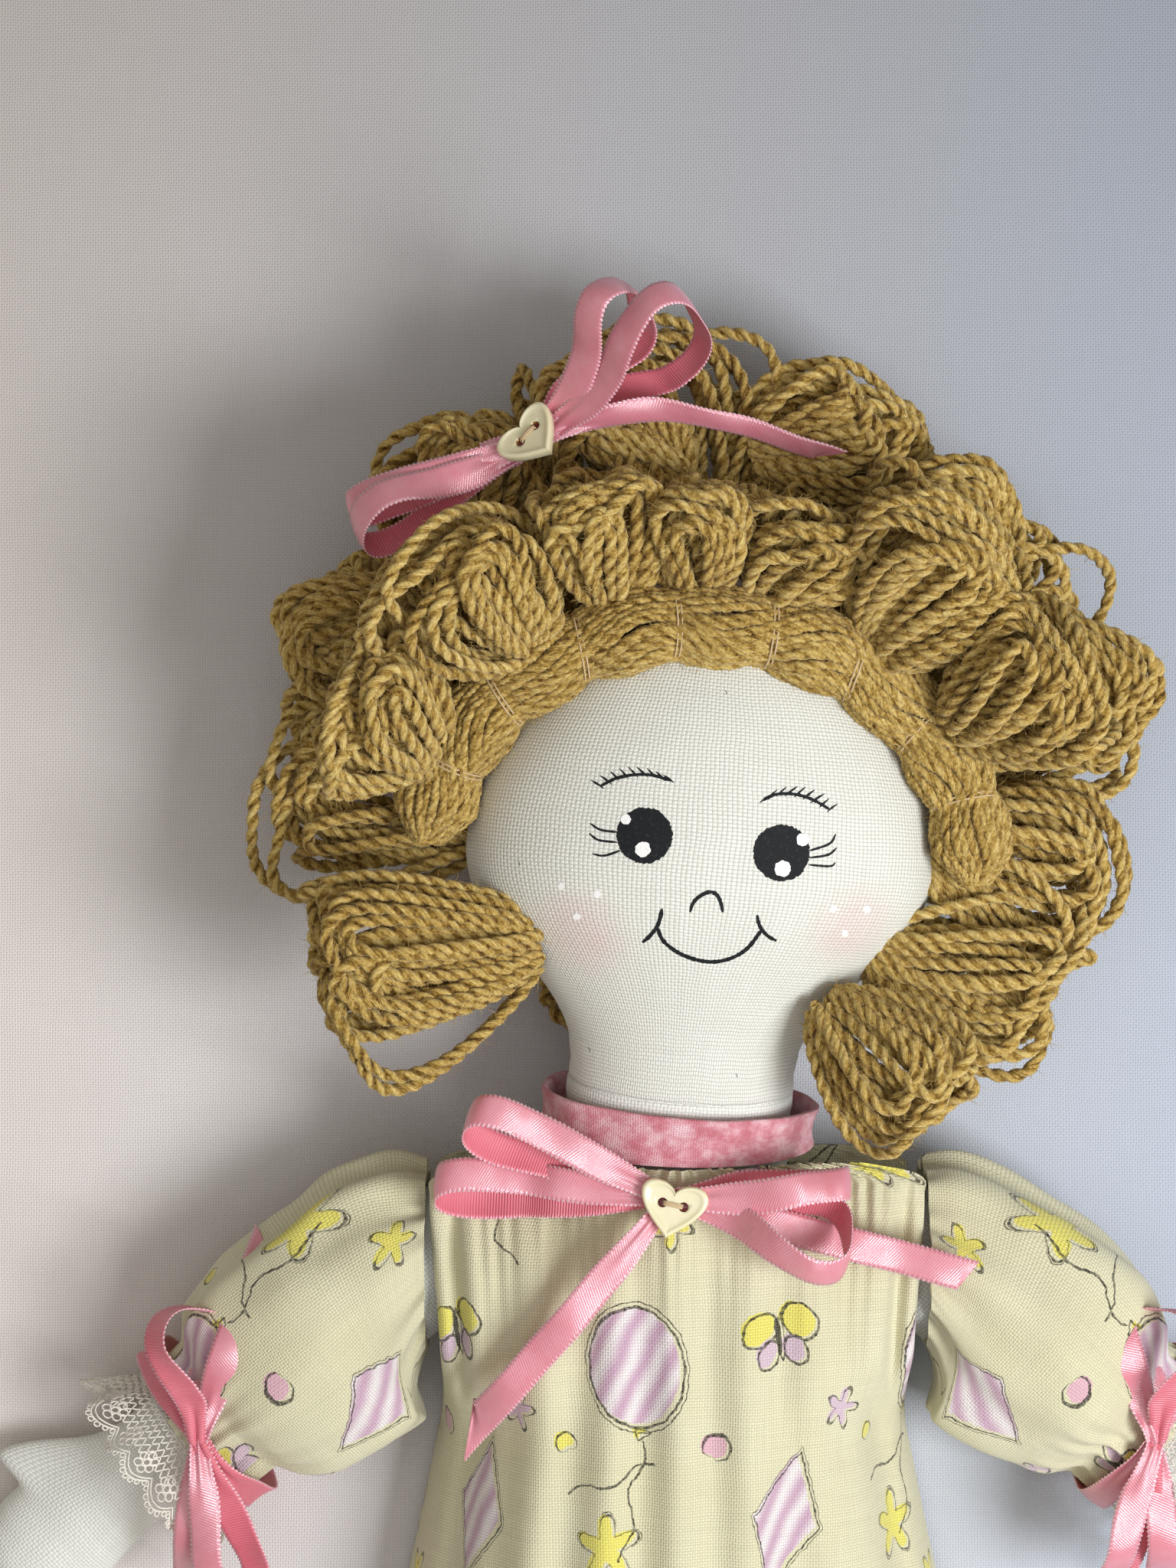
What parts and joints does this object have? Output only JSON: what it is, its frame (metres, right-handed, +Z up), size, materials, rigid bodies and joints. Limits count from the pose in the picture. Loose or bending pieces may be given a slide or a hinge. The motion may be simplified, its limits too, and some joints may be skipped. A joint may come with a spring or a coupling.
{
  "type": "rag doll",
  "caption": "Stuffed cotton rag doll with a round painted face, looped yarn curls, a printed dress with puffed sleeves and lace frills, and satin bows with heart buttons.",
  "frame": {"origin": "on the surface that the doll lies on, at the back of its dress, under the middle of its body", "axes": "+Z up from that surface and out through the doll's face, +Y towards the top of its head, +X to the right as seen from the front"},
  "size_m": [0.3156, 0.5148, 0.0897],
  "materials": {
    "cotton": "plain-woven matt cotton",
    "printed_cotton": "plain-woven cotton with a printed pattern",
    "pink_cotton": "mottled plain-woven cotton",
    "pink_satin": "satin ribbon with picot edges",
    "yarn": "plied wool yarn with a light fuzz",
    "lace": "openwork cotton lace",
    "shell_button": "cream, soft gloss, like shell",
    "thread": "cotton sewing thread"
  },
  "bodies": {
    "body": {"torso": "cotton", "neck": "cotton", "collar": "pink_cotton", "dress_front": "printed_cotton", "dress_back": "printed_cotton", "hem_lace_front": "lace", "hem_lace_back": "lace", "bloomers_left": "printed_cotton", "bloomers_right": "printed_cotton", "neck_bow": "pink_satin", "neck_button": "shell_button", "neck_button_thread": "thread"},
    "head": {"head": "cotton", "hair_roll": "yarn", "curl_lower_right": "yarn", "curl_right_low": "yarn", "curl_right": "yarn", "curl_right_high": "yarn", "curl_top_right": "yarn", "curl_top": "yarn", "curl_top_left": "yarn", "curl_left_high": "yarn", "curl_left": "yarn", "curl_left_low": "yarn", "curl_lower_left": "yarn", "curl_temple_right": "yarn", "curl_fringe_right": "yarn", "curl_fringe_mid_right": "yarn", "curl_fringe_mid": "yarn", "curl_fringe_mid_left": "yarn", "curl_fringe_left": "yarn", "curl_temple_left": "yarn", "curl_back_middle": "yarn", "curl_back_right": "yarn", "curl_back_top_right": "yarn", "curl_back_top_left": "yarn", "curl_back_left": "yarn", "curl_back_low_left": "yarn", "curl_back_low_right": "yarn", "hair_bow": "pink_satin", "hair_button": "shell_button", "hair_button_thread": "thread"},
    "arm_left": {"arm_left": "cotton", "sleeve_left": "printed_cotton", "cuff_lace_left": "lace", "cuff_bow_left": "pink_satin"},
    "arm_right": {"arm_right": "cotton", "sleeve_right": "printed_cotton", "cuff_lace_right": "lace", "cuff_bow_right": "pink_satin"},
    "leg_left": {"leg_left": "cotton", "shoe_left": "pink_cotton"},
    "leg_right": {"leg_right": "cotton", "shoe_right": "pink_cotton"}
  },
  "joints": [
    {"name": "head_tilt", "type": "hinge", "parent": "body", "child": "head", "pos_m": [0, 0.0689, 0.03564], "axis": [0, 0, 1], "range_deg": [-8, 16], "deforming": ["neck"]},
    {"name": "shoulder_left", "type": "hinge", "parent": "body", "child": "arm_left", "pos_m": [-0.04858, 0.04416, 0.0264], "axis": [0, 0, -1], "range_deg": [-20, 40], "deforming": ["sleeve_left"]},
    {"name": "shoulder_right", "type": "hinge", "parent": "body", "child": "arm_right", "pos_m": [0.04858, 0.04416, 0.0264], "axis": [0, 0, 1], "range_deg": [-20, 40], "deforming": ["sleeve_right"]},
    {"name": "hip_left", "type": "hinge", "parent": "body", "child": "leg_left", "pos_m": [-0.02184, -0.0872, 0.0199], "axis": [-1, 0, 0], "range_deg": [0, 90], "deforming": ["bloomers_left", "dress_front", "hem_lace_front"]},
    {"name": "hip_right", "type": "hinge", "parent": "body", "child": "leg_right", "pos_m": [0.02184, -0.0872, 0.0199], "axis": [-1, 0, 0], "range_deg": [0, 90], "deforming": ["bloomers_right", "dress_front", "hem_lace_front"]}
  ]
}
